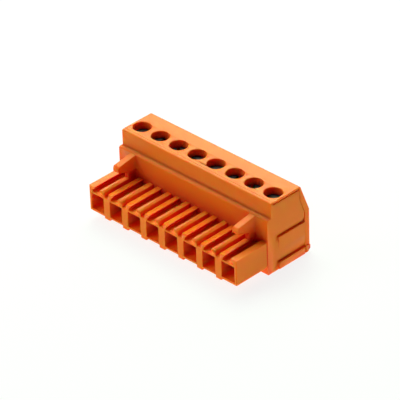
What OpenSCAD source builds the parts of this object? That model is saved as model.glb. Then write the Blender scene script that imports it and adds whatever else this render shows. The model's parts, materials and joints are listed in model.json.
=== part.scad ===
// Female side of a pluggable screw terminal: a row of pin sockets in front, a wire clamp behind each.
// +X runs along the row, the mating face looks along -Y, wires enter from +Y and screws turn about Z.
// The origin is on the underside, in the middle of the part. All sizes are millimetres.

/* [Row] */
// Number of poles
poles = 8; // [2:1:16]
// Distance from one pole to the next
pitch = 5.08; // [4.9:0.01:7.62]

/* [Clamp block] */
// Overall height
body_h = 15.9; // [15.3:0.1:20]
// Depth from the front wall to the rear face
body_d = 11.7; // [10.5:0.1:15]
// Depth of the ledge below the top
ledge_d = 1.05; // [0.5:0.05:1.5]
// Height of the ledge
ledge_z = 12.45; // [11.7:0.05:13.3]
// Depth of the flat top
top_d = 8.25; // [7:0.05:9]
// Height at which the slope behind the top meets the rear face
slope_z = 9.7; // [8.3:0.1:12.3]
// Chamfer along the outer edges
edge_cut = 0.2; // [0.1:0.05:0.4]
// Chamfer along the lower rear edge
heel_cut = 0.55; // [0.2:0.05:0.8]

/* [Socket block] */
// Length of the socket block in front of the front wall
socket_l = 8.6; // [7:0.1:11]
// Height of the pin axis above the underside
pin_z = 4.13; // [3.8:0.01:4.7]
// Thickness of the posts between sockets
post_w = 1.68; // [1.2:0.02:2]
// Height of a socket
socket_h = 3.48; // [3.3:0.02:3.9]
// Thickness of the socket block's roof
roof_t = 0.48; // [0.3:0.02:0.8]
// Thickness of the socket block's floor
sole_t = 0.48; // [0.3:0.02:0.7]
// Step at each end between the clamp block and the socket block
end_step = 0.06; // [0.02:0.02:0.2]
// Radius of the socket block's front corners
corner_r = 0.25; // [0.1:0.05:0.5]
// Depth of the feet below the posts
foot_h = 0.55; // [0.2:0.05:0.8]
// Width of the feet
foot_w = 1.55; // [1:0.05:1.65]

/* [Ribs and lugs] */
// Distance of a rib from its pole
rib_offset = 1.4; // [1.2:0.05:1.6]
// Width of a rib
rib_w = 1.15; // [0.8:0.05:1.4]
// Height of a rib above the socket block's roof
rib_h = 1.15; // [0.6:0.05:1.6]
// Chamfer on a rib's front end
rib_nose = 0.15; // [0.05:0.05:0.4]
// Depth of the coding groove's undercut below a rib's upper edge
rib_undercut = 0.5; // [0.2:0.05:0.6]
// Height of a rib's upper edge above the undercut
rib_land = 0.2; // [0.1:0.05:0.3]
// Thickness of the lugs on the front wall
lug_w = 1.5; // [1.2:0.05:2]
// How far a lug stands out of the front wall
lug_l = 4.85; // [3:0.05:6]
// Height of a lug's underside at its front end
lug_z = 10.3; // [9.3:0.1:10.9]
// Height of a lug's underside at the web that carries it
lug_root_z = 9.2; // [8.2:0.1:9.9]
// How far the web below a lug stands out of the front wall
web_l = 1.7; // [1:0.05:2.5]
// Height of a lug's blunt front end
lug_front_h = 1.3; // [0.9:0.05:1.5]
// Radius over a lug's front end
lug_nose_r = 0.8; // [0.3:0.05:0.85]

/* [End steps] */
// Height of the upper catch edge on the end faces
catch_z = 7.4; // [6.3:0.1:8.3]
// Height of the rail along the bottom of the end faces
rail_h = 1.6; // [1.1:0.05:2.3]
// How far the catch edges stand proud of the end faces
catch_proud = 0.17; // [0.05:0.01:0.25]
// Depth of the recess above a catch edge
catch_d = 0.34; // [0.1:0.02:0.36]
// Height over which the upper catch runs out downwards
catch_fade = 3; // [1:0.1:4]
// Height of the ramp above the upper catch edge
catch_ramp_h = 1.2; // [0.6:0.1:2.5]
// Height of the ramp above the rail
rail_ramp_h = 1.5; // [0.6:0.1:2.5]
// Length of the ramp in front of a catch edge
ramp_l = 1.3; // [0.6:0.1:2]
// Distance of the catch edges from the front wall
catch_inset = 3.05; // [2:0.05:4]

/* [Cover] */
// Thickness of the cover at the rear
cover_t = 1.35; // [1:0.05:1.6]
// Distance of the end walls' tops below the cover's top
rim_t = 0.7; // [0.5:0.05:1]
// Thickness of the cover round the screw holes
plate_t = 1.4; // [1.1:0.05:1.6]
// Thickness of the cover's upper rear corner, seen from the end
cover_corner_t = 0.24; // [0.15:0.02:0.5]
// Thickness of the housing's front wall beside the cover
lip_t = 0.65; // [0.5:0.05:1]
// Thickness of the housing's end walls beside the cover
end_wall_t = 0.3; // [0.25:0.05:0.5]
// Width of the open seam between housing and cover
seam = 0.06; // [0.04:0.01:0.2]
// Height of the open seam between the end walls and the cover's rim
rim_seam = 0.24; // [0.1:0.02:0.3]
// Width of a wire funnel at the rear face
funnel_w = 4.2; // [3.8:0.05:4.5]
// Height of a wire funnel at the rear face
funnel_h = 5.2; // [4.8:0.05:5.4]
// How much a wire funnel narrows on each side
funnel_draft = 0.4; // [0.1:0.05:0.5]

/* [Clamp] */
// Thickness of the wall between two clamp chambers
partition_t = 1.58; // [1.2:0.02:2]
// Distance of the screws from the front of the top
screw_inset = 3.27; // [3:0.01:4]
// Diameter of the screw hole in the cover
access_d = 3.75; // [3:0.05:3.85]
// Diameter of a screw's head
head_d = 3.95; // [3.4:0.05:4.1]
// Height of a screw's head
head_h = 1.6; // [1.2:0.1:1.8]
// Width of a screw's slot
slot_w = 0.7; // [0.5:0.05:1]
// Depth of a screw's slot
slot_depth = 0.9; // [0.5:0.05:1.1]
// Outer diameter of the thread
screw_d = 2.5; // [2:0.1:2.6]
// Length of a yoke along the wire
yoke_l = 4.2; // [3.4:0.1:4.6]
// Thickness of a yoke's side walls
yoke_side_t = 0.4; // [0.3:0.02:0.5]
// Thickness of a yoke's floor
yoke_floor_t = 0.9; // [0.6:0.05:1.1]
// Thickness of a yoke's threaded top
yoke_top_t = 2.2; // [1.5:0.1:2.4]
// Room for the wire when the clamp is open
wire_gap = 2.9; // [2.4:0.05:3.1]
// How far a yoke climbs when its screw is driven home
yoke_travel = 2.6; // [2:0.1:2.8]

/* [Contact] */
// Thickness of the bus bar that the wire is clamped against
bar_t = 0.8; // [0.5:0.05:1]
// Thickness of the contact springs
spring_t = 0.42; // [0.3:0.02:0.5]
// Distance of the springs' tips from the mating face
tip_recess = 3.4; // [2.5:0.1:4]
// Gap between the springs where they grip the pin
grip_gap = 0.8; // [0.6:0.05:1]
// Gap between the springs at their tips
mouth_gap = 1.8; // [1.4:0.1:2]

/* [Hidden] */
$fn = 48;

// Clearances
slide_play = 0.1;
turn_play = 0.075;
thread_play = 0.05;
seat_play = 0.05;
stop_play = 0.15;
head_play = 0.1;
tip_play = 0.05;

// Fixed details
socket_wall_t = 0.85;
mouth_l = 1.3;
bite = 0.22;
screw_bevel = 0.3;
groove_d = 0.15;
slot_turn = 47;

// Overhang of cutting shapes past the faces that they cut
past = 1;

row_w = poles * pitch - 2 * catch_proud;
socket_row_w = row_w - 2 * end_step;
end_x = row_w / 2;
function pole_x(i) = (i - (poles + 1) / 2) * pitch;

// Stations along Y
front_y = -(socket_l + body_d) / 2;
wall_y = front_y + socket_l;
top_y = wall_y + ledge_d;
lip_y = top_y + lip_t;
top_back_y = top_y + top_d;
rear_y = wall_y + body_d;
screw_y = top_y + screw_inset;
catch_y = wall_y + catch_inset;
chamber_y = screw_y - yoke_l / 2 - slide_play;
socket_back_y = chamber_y - socket_wall_t;

// Rear slope of the cover and the seam that follows it
slope_run = (rear_y - top_back_y) / (body_h - slope_z);
slope_shift = cover_t * sqrt(1 + slope_run * slope_run);
function slope_y(z) = top_back_y + (body_h - z) * slope_run;
function slope_seam_z(y) = body_h - (y + slope_shift - top_back_y) / slope_run;
rim_z = body_h - rim_t;
seam_rear_y = rear_y - cover_t;
seam_top_y = top_back_y - cover_corner_t;
seam_rear_z = slope_seam_z(seam_rear_y);
seam_top_z = slope_seam_z(seam_top_y);

// Levels of the socket block
socket_w = pitch - post_w;
socket_top_z = pin_z + socket_h / 2;
block_z0 = pin_z - socket_h / 2 - sole_t;
roof_z = socket_top_z + roof_t;
rib_z = roof_z + rib_h;

// Levels of the clamp
bar_z1 = socket_top_z - seat_play;
bar_z0 = bar_z1 - bar_t;
yoke_floor_z = bar_z0 - wire_gap;
yoke_z0 = yoke_floor_z - yoke_floor_t;
yoke_roof_z = bar_z1 + 2 * stop_play;
yoke_z1 = yoke_roof_z + yoke_top_t;
chamber_z0 = yoke_z0 - stop_play;
chamber_z1 = yoke_z1 + yoke_travel + stop_play;
plate_z = body_h - plate_t;
head_z1 = plate_z - head_play;
head_z0 = head_z1 - head_h;
pocket_z = head_z0 - head_play;
tip_z = bar_z1 + tip_play;
wire_z = (yoke_floor_z + bar_z0) / 2;

// Widths of the clamp
chamber_w = pitch - partition_t;
yoke_w = chamber_w - 2 * slide_play;
yoke_in_w = yoke_w - 2 * yoke_side_t;
bar_w = yoke_in_w - 2 * slide_play;
pocket_d = head_d + 2 * turn_play;
shank_hole_d = screw_d + 2 * turn_play;
thread_hole_d = screw_d + 2 * thread_play;

housing_colour = "#d9731f";
tin_colour = "#c9c7bd";
yoke_colour = "#a9acae";
screw_colour = "#3d3d40";

// Extrudes an outline in Y and Z along X, centred
module along_x(w) {
    rotate([90, 0, 90]) linear_extrude(w, center = true) children();
}

// Box between two corners
module span(low, high) {
    translate(low) cube(high - low);
}

// What is left of a square corner outside a fillet, standing along Z
module corner_waste(x, y, sx, sy, r, z0, z1) {
    difference() {
        span([min(x, x - sx * r), min(y, y - sy * r), z0], [max(x, x - sx * r), max(y, y - sy * r), z1]);
        translate([x - sx * r, y - sy * r, z0 - past]) cylinder(r = r, h = z1 - z0 + 2 * past);
    }
}

// Block that holds the clamps, cut back on top and behind for the cover
module clamp_block() {
    along_x(row_w) polygon([
        [wall_y, 0],
        [wall_y, ledge_z - edge_cut],
        [wall_y + edge_cut, ledge_z],
        [top_y, ledge_z],
        [top_y, body_h - edge_cut],
        [top_y + edge_cut, body_h],
        [lip_y, body_h],
        [lip_y, rim_z],
        [seam_top_y, rim_z],
        [seam_top_y, seam_top_z],
        [seam_rear_y, seam_rear_z],
        [seam_rear_y, 0]
    ]);
}

// One rib on the socket block, undercut on the side of its pole's coding groove
module rib(outer_x, groove_x) {
    stem_x = groove_x + rib_undercut * sign(outer_x - groove_x);
    land_z = rib_z - rib_land;
    translate([0, wall_y + past, 0]) rotate([90, 0, 0]) linear_extrude(socket_l + past) polygon([
        [outer_x, socket_top_z],
        [outer_x, rib_z],
        [groove_x, rib_z],
        [groove_x, land_z],
        [stem_x, land_z - rib_undercut],
        [stem_x, socket_top_z]
    ]);
}

// Two ribs for each pole: the outermost ones widen into the end walls
module ribs() {
    for (i = [1 : poles]) {
        x = pole_x(i);
        left = i == 1 ? -socket_row_w / 2 : x - rib_offset - rib_w / 2;
        right = i == poles ? socket_row_w / 2 : x + rib_offset + rib_w / 2;
        rib(left, x - rib_offset + rib_w / 2);
        rib(right, x + rib_offset - rib_w / 2);
    }
}

// Narrow feet under the posts
module feet() {
    for (i = [1 : poles - 1]) {
        x = pole_x(i) + pitch / 2;
        span(
            [x - foot_w / 2, front_y, block_z0 - foot_h],
            [x + foot_w / 2, wall_y + past, block_z0 + sole_t]
        );
    }
}

// Block with the pin sockets
module socket_block() {
    side = socket_row_w / 2;
    difference() {
        union() {
            span([-side, front_y, block_z0], [side, wall_y + past, roof_z]);
            ribs();
            feet();
        }
        for (s = [-1, 1])
            corner_waste(s * side, front_y, s, -1, corner_r, block_z0 - past, rib_z + past);
        along_x(row_w) polygon([
            [front_y - past, rib_z - rib_nose - past],
            [front_y - past, rib_z + past],
            [front_y + rib_nose + past, rib_z + past]
        ]);
    }
}

// Lug on the front wall and the web that carries it on the last pole's inner rib, flush on the groove side
module lug() {
    tip_y = wall_y - lug_l;
    web_y = wall_y - web_l;
    root_y = wall_y + ledge_d / 2;
    front_z = lug_z + lug_front_h;
    flush_x = pole_x(poles) - rib_offset + rib_w / 2;
    translate([flush_x - lug_w / 2, 0, 0]) along_x(lug_w) polygon(concat(
        [[root_y, lug_root_z], [web_y, lug_root_z], [tip_y, lug_z]],
        [for (a = [0 : 15 : 75]) [tip_y + lug_nose_r * (1 - cos(a)), front_z - lug_nose_r * (1 - sin(a))]],
        [[wall_y, ledge_z - edge_cut], [root_y, ledge_z - edge_cut]]
    ));
    span([flush_x - rib_w, web_y, rib_z - rib_land / 2], [flush_x, root_y, lug_z]);
}

// Catch and rail that stand proud of the end face at +X
module end_catches() {
    root_x = end_x - end_wall_t / 2;
    out_x = end_x + catch_proud;
    fade_z = catch_z - catch_fade;
    translate([0, seam_rear_y, 0]) rotate([90, 0, 0]) linear_extrude(seam_rear_y - catch_y) {
        polygon([[root_x, catch_z], [out_x, catch_z], [end_x, fade_z], [root_x, fade_z]]);
        polygon([[root_x, rail_h], [out_x, rail_h], [out_x, 0], [root_x, 0]]);
    }
}

// Recess with a ramp down to a catch or rail edge and a second ramp in front of its corner, cut at +X
module catch_recess(z, ramp_h) {
    deep_x = end_x - catch_d;
    intersection() {
        translate([0, rear_y, 0]) rotate([90, 0, 0]) linear_extrude(rear_y - catch_y + ramp_l) polygon([
            [end_x + past, z + ramp_h],
            [end_x, z + ramp_h],
            [deep_x, z],
            [end_x, z - ramp_h],
            [end_x + past, z - ramp_h]
        ]);
        union() {
            span([deep_x - past, catch_y, z], [end_x + 2 * past, rear_y, z + ramp_h]);
            translate([0, 0, z - ramp_h]) linear_extrude(2 * ramp_h) polygon([
                [end_x + past, catch_y - ramp_l],
                [end_x, catch_y - ramp_l],
                [deep_x, catch_y],
                [end_x + past, catch_y]
            ]);
        }
    }
}

// Fine groove down the corner between the socket block's end and the clamp block
module corner_groove() {
    side = socket_row_w / 2;
    span([side - groove_d, wall_y - 2 * groove_d, block_z0 - past], [side + past, wall_y, rib_z + past]);
}

// Everything that is hollow at one pole
module pole_cavity() {
    span(
        [-socket_w / 2, front_y - past, pin_z - socket_h / 2],
        [socket_w / 2, socket_back_y, socket_top_z]
    );
    span(
        [-bar_w / 2 - seat_play, socket_back_y - past, bar_z0 - seat_play],
        [bar_w / 2 + seat_play, chamber_y + past, socket_top_z]
    );
    span([-chamber_w / 2, chamber_y, chamber_z0], [chamber_w / 2, rear_y, chamber_z1]);
    translate([0, screw_y, pocket_z]) cylinder(d = pocket_d, h = body_h - pocket_z);
    translate([0, screw_y, chamber_z1 - past])
        cylinder(d = shank_hole_d, h = pocket_z - chamber_z1 + 2 * past);
}

module socket_housing() {
    color(housing_colour) difference() {
        union() {
            clamp_block();
            socket_block();
            for (s = [0, 1]) mirror([s, 0, 0]) {
                lug();
                end_catches();
            }
        }
        for (i = [1 : poles]) translate([pole_x(i), 0, 0]) pole_cavity();
        span([-end_x + end_wall_t, lip_y, plate_z], [end_x - end_wall_t, rear_y, body_h + past]);
        for (s = [0, 1]) mirror([s, 0, 0]) {
            catch_recess(catch_z, catch_ramp_h);
            catch_recess(rail_h, rail_ramp_h);
            corner_groove();
        }
    }
}

// Flared hole for the wire in the rear wall
module wire_funnel() {
    deep_y = seam_rear_y - past;
    flare = funnel_draft * (rear_y - deep_y + past) / cover_t;
    half_w = funnel_w / 2 + funnel_draft * past / cover_t;
    half_h = funnel_h / 2 + funnel_draft * past / cover_t;
    intersection() {
        translate([0, 0, wire_z - funnel_h]) linear_extrude(2 * funnel_h) polygon([
            [-half_w, rear_y + past],
            [half_w, rear_y + past],
            [half_w - flare, deep_y],
            [flare - half_w, deep_y]
        ]);
        along_x(2 * funnel_w) polygon([
            [rear_y + past, wire_z - half_h],
            [rear_y + past, wire_z + half_h],
            [deep_y, wire_z + half_h - flare],
            [deep_y, wire_z - half_h + flare]
        ]);
    }
}

// Cover that closes the chambers on top and behind
module rear_cover() {
    color(housing_colour) difference() {
        union() {
            along_x(row_w) polygon([
                [lip_y + seam, rim_z + rim_seam],
                [lip_y + seam, body_h],
                [top_back_y - edge_cut, body_h],
                [slope_y(body_h - edge_cut), body_h - edge_cut],
                [rear_y, slope_z],
                [rear_y, heel_cut],
                [rear_y - heel_cut, 0],
                [seam_rear_y + seam, 0],
                [seam_rear_y + seam, seam_rear_z],
                [seam_top_y + seam, seam_top_z],
                [seam_top_y + seam, rim_z + rim_seam]
            ]);
            along_x(row_w + 2 * catch_proud) polygon([
                [seam_rear_y + seam, 0],
                [seam_rear_y + seam, rail_h],
                [rear_y, rail_h],
                [rear_y, heel_cut],
                [rear_y - heel_cut, 0]
            ]);
            span(
                [-end_x + end_wall_t + seat_play, lip_y + seam, plate_z],
                [end_x - end_wall_t - seat_play, seam_top_y + seam, body_h - edge_cut]
            );
        }
        for (i = [1 : poles]) translate([pole_x(i), 0, 0]) {
            translate([0, screw_y, plate_z - past]) cylinder(d = access_d, h = plate_t + 2 * past);
            wire_funnel();
        }
    }
}

// Two springs that grip the pin, and the bar behind them that the wire is clamped against
module contact(i) {
    back_y = socket_back_y - seat_play;
    root_y = back_y - bar_t;
    tip_y = front_y + tip_recess;
    grip_y = tip_y + mouth_l;
    bar_y = screw_y + yoke_l / 2 + 2 * stop_play;
    throat = bar_z0 - pin_z;
    foot_z = pin_z - throat - spring_t;
    color(tin_colour) translate([pole_x(i), 0, 0]) along_x(bar_w) polygon([
        [bar_y, bar_z1],
        [root_y, bar_z1],
        [grip_y, pin_z + grip_gap / 2 + spring_t],
        [tip_y, pin_z + mouth_gap / 2 + spring_t],
        [tip_y, pin_z + mouth_gap / 2],
        [grip_y, pin_z + grip_gap / 2],
        [root_y, pin_z + throat],
        [root_y, pin_z - throat],
        [grip_y, pin_z - grip_gap / 2],
        [tip_y, pin_z - mouth_gap / 2],
        [tip_y, pin_z - mouth_gap / 2 - spring_t],
        [grip_y, pin_z - grip_gap / 2 - spring_t],
        [root_y, foot_z],
        [back_y, foot_z],
        [back_y, bar_z0],
        [bar_y, bar_z0]
    ]);
}

// Steel loop that its screw pulls up, so that the wire is clamped against the bus bar
module yoke(i) {
    color(yoke_colour) translate([pole_x(i), screw_y, 0]) difference() {
        span([-yoke_w / 2, -yoke_l / 2, yoke_z0], [yoke_w / 2, yoke_l / 2, yoke_z1]);
        span([-yoke_in_w / 2, -yoke_l, yoke_floor_z], [yoke_in_w / 2, yoke_l, yoke_roof_z]);
        for (k = [-1 : 1]) translate([0, k * yoke_l / 4, yoke_floor_z])
            along_x(yoke_in_w) polygon([[-bite, 0], [0, -bite], [bite, 0], [0, bite]]);
        translate([0, 0, yoke_roof_z - past]) cylinder(d = thread_hole_d, h = yoke_top_t + 2 * past);
    }
}

// Slotted screw whose tip bears on the bus bar
module screw(i) {
    color(screw_colour) translate([pole_x(i), screw_y, 0]) difference() {
        rotate_extrude() polygon([
            [0, tip_z],
            [screw_d / 2 - screw_bevel, tip_z],
            [screw_d / 2, tip_z + screw_bevel],
            [screw_d / 2, head_z0],
            [head_d / 2, head_z0],
            [head_d / 2, head_z1 - screw_bevel],
            [head_d / 2 - screw_bevel, head_z1],
            [0, head_z1]
        ]);
        rotate(i * slot_turn) translate([-head_d, -slot_w / 2, head_z1 - slot_depth])
            cube([2 * head_d, slot_w, slot_depth + past]);
    }
}

socket_housing();
rear_cover();
for (i = [1 : poles]) {
    contact(i);
    yoke(i);
    screw(i);
}
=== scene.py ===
"""Looks of an orange screw terminal plug: moulded housing and cover, spring contacts, yokes and screws."""
import json
import math

import bmesh
import bpy
from mathutils import Matrix, Vector

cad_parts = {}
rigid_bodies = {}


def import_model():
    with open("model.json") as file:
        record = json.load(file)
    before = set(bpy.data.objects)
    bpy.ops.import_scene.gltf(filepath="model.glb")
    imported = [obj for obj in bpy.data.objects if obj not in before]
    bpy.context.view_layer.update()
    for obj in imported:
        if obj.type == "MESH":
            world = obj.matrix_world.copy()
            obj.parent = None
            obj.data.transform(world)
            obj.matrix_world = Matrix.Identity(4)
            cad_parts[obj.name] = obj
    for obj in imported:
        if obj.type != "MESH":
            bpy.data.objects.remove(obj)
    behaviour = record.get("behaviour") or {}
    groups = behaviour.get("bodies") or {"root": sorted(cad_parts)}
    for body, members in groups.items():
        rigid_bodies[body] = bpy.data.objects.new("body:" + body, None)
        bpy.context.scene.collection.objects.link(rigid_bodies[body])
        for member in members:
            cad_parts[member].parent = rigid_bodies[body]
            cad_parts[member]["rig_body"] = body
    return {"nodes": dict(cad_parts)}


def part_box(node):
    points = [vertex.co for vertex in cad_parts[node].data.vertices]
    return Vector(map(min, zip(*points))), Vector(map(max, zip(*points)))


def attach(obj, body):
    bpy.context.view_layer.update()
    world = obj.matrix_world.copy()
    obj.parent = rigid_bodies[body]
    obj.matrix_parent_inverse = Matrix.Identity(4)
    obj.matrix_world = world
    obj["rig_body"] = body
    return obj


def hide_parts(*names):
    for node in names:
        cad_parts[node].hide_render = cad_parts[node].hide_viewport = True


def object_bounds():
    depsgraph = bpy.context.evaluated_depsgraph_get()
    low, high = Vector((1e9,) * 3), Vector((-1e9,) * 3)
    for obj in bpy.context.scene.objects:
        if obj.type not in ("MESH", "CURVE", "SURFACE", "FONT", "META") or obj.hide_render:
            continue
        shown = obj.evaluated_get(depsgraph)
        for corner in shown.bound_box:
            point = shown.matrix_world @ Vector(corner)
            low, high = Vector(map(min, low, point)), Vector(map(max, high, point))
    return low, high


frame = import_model()
cad_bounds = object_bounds()
nodes = frame["nodes"]
scene = bpy.context.scene
scene.view_settings.view_transform = "Standard"

MM = 0.001


def centre(node):
    """Middle of a solid's box."""
    low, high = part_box(node)
    return (Vector(low) + Vector(high)) / 2


SCREWS = sorted(name for name in nodes if name.startswith("screw_"))
YOKES = sorted(name for name in nodes if name.startswith("yoke_"))
CONTACTS = sorted(name for name in nodes if name.startswith("contact_"))
PITCH = centre("screw_2").x - centre("screw_1").x


# Materials

def linear(colour):
    """Linear red, green and blue of an sRGB hex value."""
    parts = [int(colour[i:i + 2], 16) / 255 for i in (1, 3, 5)]
    return [p / 12.92 if p <= 0.04045 else ((p + 0.055) / 1.055) ** 2.4 for p in parts]


def rgba(colour):
    """The same with an opaque alpha, as colour sockets take it."""
    return (*linear(colour), 1)


def add(tree, kind, inputs=None, links=None, **settings):
    """Adds a node. inputs sets its sockets, links joins them to (node, output) pairs."""
    node = tree.nodes.new(kind)
    for name, value in settings.items():
        setattr(node, name, value)
    for name, value in (inputs or {}).items():
        node.inputs[name].default_value = value
    for name, (source, output) in (links or {}).items():
        tree.links.new(source.outputs[output], node.inputs[name])
    return node


def blank(name):
    """A new material with nothing in it."""
    material = bpy.data.materials.new(name)
    material.use_nodes = True
    material.node_tree.nodes.clear()
    return material, material.node_tree


def moulded_orange_pbt():
    """Polybutylene terephthalate from a spark-eroded tool: a dense warm orange with a soft sheen.

    Flow clouds a few millimetres wide vary the colour faintly. The tool's grit, about 0.05 mm on the
    real part, is drawn 0.2 mm wide so that it shows, and it breaks up the sheen. Upright walls inside
    hollows get a painted shade of deep red, which stands for light that has met the plastic several times.
    """
    material, tree = blank("moulded_orange_pbt")
    place = add(tree, "ShaderNodeTexCoord")
    clouds = add(tree, "ShaderNodeTexNoise", {"Scale": 1 / (5 * MM), "Detail": 2.0},
                 {"Vector": (place, "Object")})
    grit = add(tree, "ShaderNodeTexNoise", {"Scale": 1 / (0.2 * MM), "Detail": 1.0},
               {"Vector": (place, "Object")})
    orange = add(tree, "ShaderNodeMix", {"A": rgba("#f87418"), "B": rgba("#fd7c1e")},
                 {"Factor": (clouds, "Fac")}, data_type="RGBA")
    # Painted shade: how far the piece itself shuts a wall in, within the 6 mm that its hollows reach
    openness = add(tree, "ShaderNodeAmbientOcclusion", {"Distance": 6 * MM}, samples=16, only_local=True)
    painted_shade_occlusion = add(tree, "ShaderNodeMath", {0: 1.0}, {1: (openness, "AO")}, operation="SUBTRACT")
    # Faces that look up get none of the painted shade, and upright and overhanging faces get all of it
    surface = add(tree, "ShaderNodeNewGeometry")
    facing = add(tree, "ShaderNodeSeparateXYZ", links={0: (surface, "Normal")})
    upright = add(tree, "ShaderNodeMapRange", {"To Min": 1.0, "To Max": 0.0}, {"Value": (facing, "Z")})
    painted_shade_amount = add(tree, "ShaderNodeMath", links={0: (painted_shade_occlusion, "Value"), 1: (upright, "Result")},
                operation="MULTIPLY")
    # Painted shade: deep red laid into the orange where the piece shuts a wall in
    colour = add(tree, "ShaderNodeMix", {"B": rgba("#e41e3c")},
                 {"Factor": (painted_shade_amount, "Value"), "A": (orange, 2)}, data_type="RGBA")
    rough = add(tree, "ShaderNodeMapRange", {"To Min": 0.33, "To Max": 0.45}, {"Value": (grit, "Fac")})
    bump = add(tree, "ShaderNodeBump", {"Strength": 0.12, "Distance": 0.02 * MM},
               {"Height": (grit, "Fac")})
    shader = add(tree, "ShaderNodeBsdfPrincipled",
                 {"IOR": 1.55, "Specular IOR Level": 0.17, "Subsurface Weight": 1.0,
                  "Subsurface Scale": 0.8 * MM, "Subsurface Radius": (1.0, 0.1, 0.03)},
                 {"Base Color": (colour, 2), "Roughness": (rough, "Result"), "Normal": (bump, "Normal")})
    add(tree, "ShaderNodeOutputMaterial", links={"Surface": (shader, "BSDF")})
    return material


def tinned_bronze():
    """Rolled bronze strip with matt tin: a soft warm silver with faint streaks along the strip."""
    material, tree = blank("tinned_bronze")
    place = add(tree, "ShaderNodeTexCoord")
    # Streaks 0.15 mm wide and ten times as long, along the strip
    along = add(tree, "ShaderNodeMapping", {"Scale": (1, 0.1, 1)}, {"Vector": (place, "Object")})
    streaks = add(tree, "ShaderNodeTexNoise", {"Scale": 1 / (0.15 * MM), "Detail": 2.0},
                  {"Vector": (along, "Vector")})
    colour = add(tree, "ShaderNodeMix", {"A": rgba("#b9b5a9"), "B": rgba("#d2cfc6")},
                 {"Factor": (streaks, "Fac")}, data_type="RGBA")
    rough = add(tree, "ShaderNodeMapRange", {"To Min": 0.28, "To Max": 0.42}, {"Value": (streaks, "Fac")})
    bump = add(tree, "ShaderNodeBump", {"Strength": 0.1, "Distance": 0.01 * MM},
               {"Height": (streaks, "Fac")})
    shader = add(tree, "ShaderNodeBsdfPrincipled", {"Metallic": 1.0},
                 {"Base Color": (colour, 2), "Roughness": (rough, "Result"), "Normal": (bump, "Normal")})
    add(tree, "ShaderNodeOutputMaterial", links={"Surface": (shader, "BSDF")})
    return material


def zinc_plated_steel():
    """Bent steel strip, barrel-plated with zinc: bluish grey with cloudy spots and small tumbling marks."""
    material, tree = blank("zinc_plated_steel")
    place = add(tree, "ShaderNodeTexCoord")
    clouds = add(tree, "ShaderNodeTexNoise", {"Scale": 1 / (1.2 * MM), "Detail": 3.0},
                 {"Vector": (place, "Object")})
    # Tumbling marks are finer on the real part and drawn 0.2 mm wide so that they show
    marks = add(tree, "ShaderNodeTexVoronoi", {"Scale": 1 / (0.2 * MM)}, {"Vector": (place, "Object")})
    colour = add(tree, "ShaderNodeMix", {"A": rgba("#9aa0a6"), "B": rgba("#bcc0c1")},
                 {"Factor": (clouds, "Fac")}, data_type="RGBA")
    rough = add(tree, "ShaderNodeMapRange", {"To Min": 0.26, "To Max": 0.46}, {"Value": (clouds, "Fac")})
    bump = add(tree, "ShaderNodeBump", {"Strength": 0.15, "Distance": 0.01 * MM},
               {"Height": (marks, "Distance")})
    shader = add(tree, "ShaderNodeBsdfPrincipled", {"Metallic": 1.0},
                 {"Base Color": (colour, 2), "Roughness": (rough, "Result"), "Normal": (bump, "Normal")})
    add(tree, "ShaderNodeOutputMaterial", links={"Surface": (shader, "BSDF")})
    return material


def black_passivated_steel():
    """Turned steel with black passivation: near black, with fine rings left by the lathe on the heads."""
    material, tree = blank("black_passivated_steel")
    place = add(tree, "ShaderNodeTexCoord")
    first = centre("screw_1")
    # Moves every screw's axis to the middle of a cell one pole wide, so that the rings are concentric
    shifted = add(tree, "ShaderNodeMapping", {"Location": (-first.x, -first.y, 0)},
                  {"Vector": (place, "Object")})
    around = add(tree, "ShaderNodeVectorMath", {1: (PITCH / 2, 1, 1), 2: (-PITCH / 2, -1, -1)},
                 {0: (shifted, "Vector")}, operation="WRAP")
    # One ring every 0.12 mm: a band of the wave texture is 2 pi / 20 long at a scale of 1
    rings = add(tree, "ShaderNodeTexWave", {"Scale": math.pi / 10 / (0.12 * MM), "Distortion": 0.6},
                {"Vector": (around, "Vector")}, wave_type="RINGS", rings_direction="Z")
    clouds = add(tree, "ShaderNodeTexNoise", {"Scale": 1 / (0.8 * MM), "Detail": 3.0},
                 {"Vector": (place, "Object")})
    colour = add(tree, "ShaderNodeMix", {"A": rgba("#2c2c2e"), "B": rgba("#47474a")},
                 {"Factor": (clouds, "Fac")}, data_type="RGBA")
    rough = add(tree, "ShaderNodeMapRange", {"To Min": 0.3, "To Max": 0.5}, {"Value": (clouds, "Fac")})
    bump = add(tree, "ShaderNodeBump", {"Strength": 0.2, "Distance": 0.01 * MM},
               {"Height": (rings, "Fac")})
    shader = add(tree, "ShaderNodeBsdfPrincipled", {"Metallic": 1.0},
                 {"Base Color": (colour, 2), "Roughness": (rough, "Result"), "Normal": (bump, "Normal")})
    add(tree, "ShaderNodeOutputMaterial", links={"Surface": (shader, "BSDF")})
    return material


# Pieces

# Faces that meet at less than this are joined into one
FLAT = math.radians(1)
# Edges and faces that turn by less than this belong to one round surface
SHARP = math.radians(20)
# Corners of a solid's triangles that are nearer than this are one corner
SAME_PLACE = 0.0005 * MM
# Corners this near a plane or a line lie on it
ON_PLANE = 0.01 * MM
ON_LINE = 0.002 * MM
# Shorter edges belong to fine arcs and stay as they are
SHORT = 0.06 * MM
# The share of the room beside an edge that its rounding may take
ROOM_SHARE = 0.35
# Seam on top, where the cover meets the housing's lip: its edges are left tight
SEAM_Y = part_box("rear_cover")[0][1]
SEAM_WIDTH = 0.1 * MM
TOP_Z = cad_bounds[1][2]
SEAM_ROUNDING = 0.03 * MM
# Sills of the wire entries, on a strip of the rear face that is too slim for their rounding
REAR_Y = cad_bounds[1][1]
SILL_LOW, SILL_HIGH = 0.9 * MM, 1.0 * MM


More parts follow.
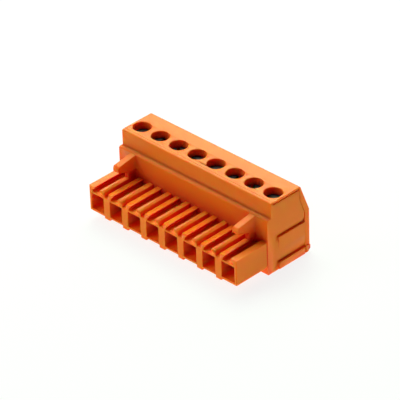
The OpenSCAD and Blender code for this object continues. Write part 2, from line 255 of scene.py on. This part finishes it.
def merged(node):
    """A bmesh of a solid with its loose triangles joined into whole faces, none of them concave."""
    shape = bmesh.new()
    shape.from_mesh(nodes[node].data)
    bmesh.ops.remove_doubles(shape, verts=shape.verts, dist=SAME_PLACE)
    bmesh.ops.dissolve_limit(shape, angle_limit=FLAT, verts=shape.verts, edges=shape.edges)
    bmesh.ops.connect_verts_concave(shape, faces=shape.faces)
    return shape


def room_beside(face, edge):
    """Distance from an edge to the nearest corner of its face, past the arc that the edge may lie on."""
    loops = list(face.loops)
    start = next(i for i, loop in enumerate(loops) if loop.edge == edge)
    skipped = {loops[start].vert, loops[start].link_loop_next.vert}
    for forwards in (True, False):
        here = loops[start]
        for _ in loops:
            there = here.link_loop_next if forwards else here.link_loop_prev
            bend = here.edge.other_vert(here.vert).co - here.vert.co
            turn = there.edge.other_vert(there.vert).co - there.vert.co
            if bend.length == 0 or turn.length == 0 or bend.angle(turn) > SHARP:
                break
            skipped.add(there.vert)
            skipped.add(there.link_loop_next.vert)
            here = there
    a, b = edge.verts
    along = (b.co - a.co).normalized()
    rooms = []
    for vert in face.verts:
        if vert not in skipped:
            away = vert.co - a.co
            rooms.append((away - along * away.dot(along)).length)
    rooms = [room for room in rooms if room > ON_LINE]
    return min(rooms) if rooms else 0.0


def runs_into_arc(edge):
    """Whether an edge runs on into a fine arc, where its rounding would stand out of the solid."""
    for vert in edge.verts:
        along = edge.other_vert(vert).co - vert.co
        for other in vert.link_edges:
            away = vert.co - other.other_vert(vert).co
            if other != edge and 0 < away.length < SHORT and along.angle(away) < SHARP:
                return True
    return False


def on_seam(edge):
    """Whether an edge lies along the seam on top."""
    return all(abs(v.co.y - SEAM_Y) < SEAM_WIDTH and v.co.z > TOP_Z - ON_PLANE for v in edge.verts)


def on_sill(edge):
    """Whether an edge is the sill of a wire entry."""
    return all(v.co.y > REAR_Y - ON_PLANE and SILL_LOW < v.co.z < SILL_HIGH for v in edge.verts)


def weigh_edges(shape, widest, least_room):
    """Gives each outer edge its rounding, as far as its faces leave room, and marks the rest as sharp."""
    weight = shape.edges.layers.float.new("bevel_weight_edge")
    for face in shape.faces:
        face.smooth = True
    for edge in shape.edges:
        if len(edge.link_faces) != 2 or edge.calc_face_angle(0) < SHARP:
            continue
        room = min(room_beside(face, edge) for face in edge.link_faces)
        outer = edge.calc_face_angle_signed(0) > 0 and edge.calc_length() > SHORT
        if outer and room > least_room and not runs_into_arc(edge) and not on_sill(edge):
            edge[weight] = min(1, ROOM_SHARE * room / widest)
            if on_seam(edge):
                edge[weight] = SEAM_ROUNDING / widest
        else:
            edge.smooth = False


def finished(shape, node, ending, widest, material):
    """The piece that stands for a solid, with its weighed edges rounded."""
    data = bpy.data.meshes.new(node + ending)
    shape.to_mesh(data)
    shape.free()
    data.materials.append(material)
    piece = bpy.data.objects.new(node + ending, data)
    scene.collection.objects.link(piece)
    round_over = piece.modifiers.new("rounded_edges", "BEVEL")
    round_over.limit_method = "WEIGHT"
    round_over.width = widest
    round_over.segments = 2
    round_over.profile = 0.5
    round_over.use_clamp_overlap = False
    flat_faces = piece.modifiers.new("flat_faces", "WEIGHTED_NORMAL")
    flat_faces.weight = 100
    flat_faces.keep_sharp = True
    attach(piece, nodes[node]["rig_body"])
    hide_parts(node)
    return piece


def softened(node, ending, widest, least_room, material):
    """A solid's own shape with softer edges."""
    shape = merged(node)
    weigh_edges(shape, widest, least_room)
    return finished(shape, node, ending, widest, material)


# Thread of the clamping screws: M2.5, its crest within the usual tolerance so that it clears the yokes.
# The profile has a radius and a share of the pitch at each corner.
THREAD_PITCH = 0.45 * MM
CREST_R = 1.22 * MM
ROOT_R = 0.97 * MM
HEAD_H = 1.6 * MM
TIP_BEVEL = 0.3 * MM
THREAD_STEPS = 32
PROFILE = ((ROOT_R, 0), (ROOT_R, 0.125), (CREST_R, 0.45), (CREST_R, 0.55), (ROOT_R, 0.875), (ROOT_R, 1))


def threaded_shank(axis, low_z, high_z):
    """A right-hand thread: one V of the profile spun upwards, cut flat at both ends, with a bevelled tip."""
    thread = bmesh.new()
    turns = math.ceil((high_z - low_z) / THREAD_PITCH) + 2
    points = []
    for radius, rise in PROFILE:
        points.append(thread.verts.new((axis.x + radius, axis.y, low_z + (rise - 1) * THREAD_PITCH)))
    lines = [thread.edges.new(pair) for pair in zip(points, points[1:])]
    bmesh.ops.spin(thread, geom=points + lines, cent=axis, axis=(0, 0, 1), angle=2 * math.pi * turns,
                   dvec=(0, 0, THREAD_PITCH / THREAD_STEPS), steps=turns * THREAD_STEPS)
    bmesh.ops.remove_doubles(thread, verts=thread.verts, dist=2 * SAME_PLACE)
    for z, outwards in ((low_z + TIP_BEVEL, -1), (high_z, 1)):
        cut = bmesh.ops.bisect_plane(thread, geom=thread.verts[:] + thread.edges[:] + thread.faces[:],
                                     plane_co=(0, 0, z), plane_no=(0, 0, outwards), clear_outer=True)
        rim = [part for part in cut["geom_cut"] if isinstance(part, bmesh.types.BMEdge)]
        end = bmesh.ops.edgeloop_fill(thread, edges=rim)["faces"]
        if outwards < 0:
            tip = bmesh.ops.extrude_face_region(thread, geom=end)["geom"]
            tip = [part for part in tip if isinstance(part, bmesh.types.BMVert)]
            bmesh.ops.delete(thread, geom=end, context="FACES")
            bmesh.ops.translate(thread, verts=tip, vec=(0, 0, -TIP_BEVEL))
            narrow = 1 - TIP_BEVEL / CREST_R
            bmesh.ops.scale(thread, verts=tip, vec=(narrow, narrow, 1),
                            space=Matrix.Translation((-axis.x, -axis.y, 0)))
    bmesh.ops.recalc_face_normals(thread, faces=thread.faces)
    for edge in thread.edges:
        edge.smooth = edge.calc_face_angle(0) < SHARP
    for face in thread.faces:
        face.smooth = True
    return thread


def screw(node, widest, least_room, material):
    """The solid's slotted head on a threaded shank."""
    low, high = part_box(node)
    neck_z = high[2] - HEAD_H
    shape = merged(node)
    bmesh.ops.bisect_plane(shape, geom=shape.verts[:] + shape.edges[:] + shape.faces[:],
                           plane_co=(0, 0, neck_z), plane_no=(0, 0, -1), clear_outer=True)
    bmesh.ops.holes_fill(shape, edges=[e for e in shape.edges if e.is_boundary])
    weigh_edges(shape, widest, least_room)
    thread = threaded_shank(centre(node), low[2], neck_z)
    joined = bpy.data.meshes.new("shank")
    thread.to_mesh(joined)
    thread.free()
    shape.from_mesh(joined)
    bpy.data.meshes.remove(joined)
    return finished(shape, node, "_turned", widest, material)


pbt = moulded_orange_pbt()
tin = tinned_bronze()
zinc = zinc_plated_steel()
black_steel = black_passivated_steel()

for node in ("socket_housing", "rear_cover"):
    softened(node, "_moulding", widest=0.15 * MM, least_room=0.2 * MM, material=pbt)
for node in CONTACTS:
    softened(node, "_stamping", widest=0.06 * MM, least_room=0.1 * MM, material=tin)
for node in YOKES:
    softened(node, "_loop", widest=0.1 * MM, least_room=0.1 * MM, material=zinc)
for node in SCREWS:
    screw(node, widest=0.08 * MM, least_room=0.1 * MM, material=black_steel)


# Camera, fitted to the photograph's edges

AIM = Vector((0, -0.55, 8.3)) * MM
AZIMUTH, ELEVATION, ROLL = math.radians(45.7), math.radians(33.11), math.radians(-2.09)
DISTANCE = 605.3 * MM
LENS, SENSOR = 280.4, 36
SHIFT_X, SHIFT_Y = 0.0106, -0.0030
NEAREST = 50 * MM

back = Vector((math.sin(AZIMUTH) * math.cos(ELEVATION), -math.cos(AZIMUTH) * math.cos(ELEVATION),
               math.sin(ELEVATION)))
level = Vector((math.cos(AZIMUTH), math.sin(AZIMUTH), 0))
right = level * math.cos(ROLL) + back.cross(level) * math.sin(ROLL)
camera = bpy.data.objects.new("camera", bpy.data.cameras.new("camera"))
camera.matrix_world = Matrix.Translation(AIM + back * DISTANCE) @ Matrix(
    (right, back.cross(right), back)).transposed().to_4x4()
camera.data.lens = LENS
camera.data.sensor_width = SENSOR
camera.data.shift_x = SHIFT_X
camera.data.shift_y = SHIFT_Y
camera.data.clip_start = NEAREST
scene.collection.objects.link(camera)
scene.camera = camera


# Floor and light

# Half the table's side, and the hair by which it lies below the part, so that no two faces share a plane
TABLE_HALF = 1500 * MM
TABLE_DROP = 0.02 * MM
# The share of the table's light that is its own, and its strength where it only lights the part
GLOW_SHARE = 0.85
LIFT = 1.5
SOFTBOX_DISTANCE = 600 * MM
SKY = 0.03


def white_table():
    """Matt white table top: seen as nearly white, it keeps the part's soft shadow and lifts its sides.

    The light that it throws up at the part is a little yellow, as on the sides in the photograph.
    """
    material, tree = blank("white_table")
    matt = add(tree, "ShaderNodeBsdfDiffuse", {"Color": rgba("#f4f4f4")})
    path = add(tree, "ShaderNodeLightPath")
    seen = add(tree, "ShaderNodeMath", links={0: (path, "Is Camera Ray"), 1: (path, "Is Glossy Ray")},
               operation="MAXIMUM")
    seen = add(tree, "ShaderNodeMath", links={0: (seen, "Value"), 1: (path, "Is Transmission Ray")},
               operation="MAXIMUM")
    level = add(tree, "ShaderNodeMapRange", {"To Min": LIFT, "To Max": 1.0}, {"Value": (seen, "Value")})
    tint = add(tree, "ShaderNodeMix", {"A": rgba("#f0fb9a"), "B": (1, 1, 1, 1)}, {"Factor": (seen, "Value")},
               data_type="RGBA")
    glow = add(tree, "ShaderNodeEmission", links={"Color": (tint, 2), "Strength": (level, "Result")})
    mix = add(tree, "ShaderNodeMixShader", {0: GLOW_SHARE}, {1: (matt, "BSDF"), 2: (glow, "Emission")})
    add(tree, "ShaderNodeOutputMaterial", links={"Surface": (mix, "Shader")})
    return material


table_shape = bmesh.new()
bmesh.ops.create_grid(table_shape, x_segments=1, y_segments=1, size=TABLE_HALF)
bmesh.ops.translate(table_shape, verts=table_shape.verts, vec=(0, 0, -TABLE_DROP))
table_data = bpy.data.meshes.new("table")
table_shape.to_mesh(table_data)
table_shape.free()
table_data.materials.append(white_table())
table = bpy.data.objects.new("table", table_data)
scene.collection.objects.link(table)


def softbox(name, towards, size, power):
    """A square lamp that faces the part from a direction. A trace of green keeps its sheen from pink."""
    lamp = bpy.data.lights.new(name, "AREA")
    lamp.size = size
    lamp.energy = power
    lamp.color = linear("#e4fbe0")
    box = bpy.data.objects.new(name, lamp)
    away = Vector(towards).normalized()
    box.location = AIM + away * SOFTBOX_DISTANCE
    box.rotation_euler = away.to_track_quat("Z", "Y").to_euler()
    scene.collection.objects.link(box)


softbox("key_softbox", (-0.407, 0.235, 0.883), size=400 * MM, power=3.4)
softbox("back_softbox", (-0.389, 0.673, 0.629), size=450 * MM, power=3.2)
softbox("fill_softbox", (-0.542, -0.542, 0.643), size=300 * MM, power=1.3)

world = bpy.data.worlds.new("studio")
world.use_nodes = True
scene.world = world
sky = world.node_tree.nodes["Background"]
sky.inputs["Color"].default_value = (1, 1, 1, 1)
sky.inputs["Strength"].default_value = SKY
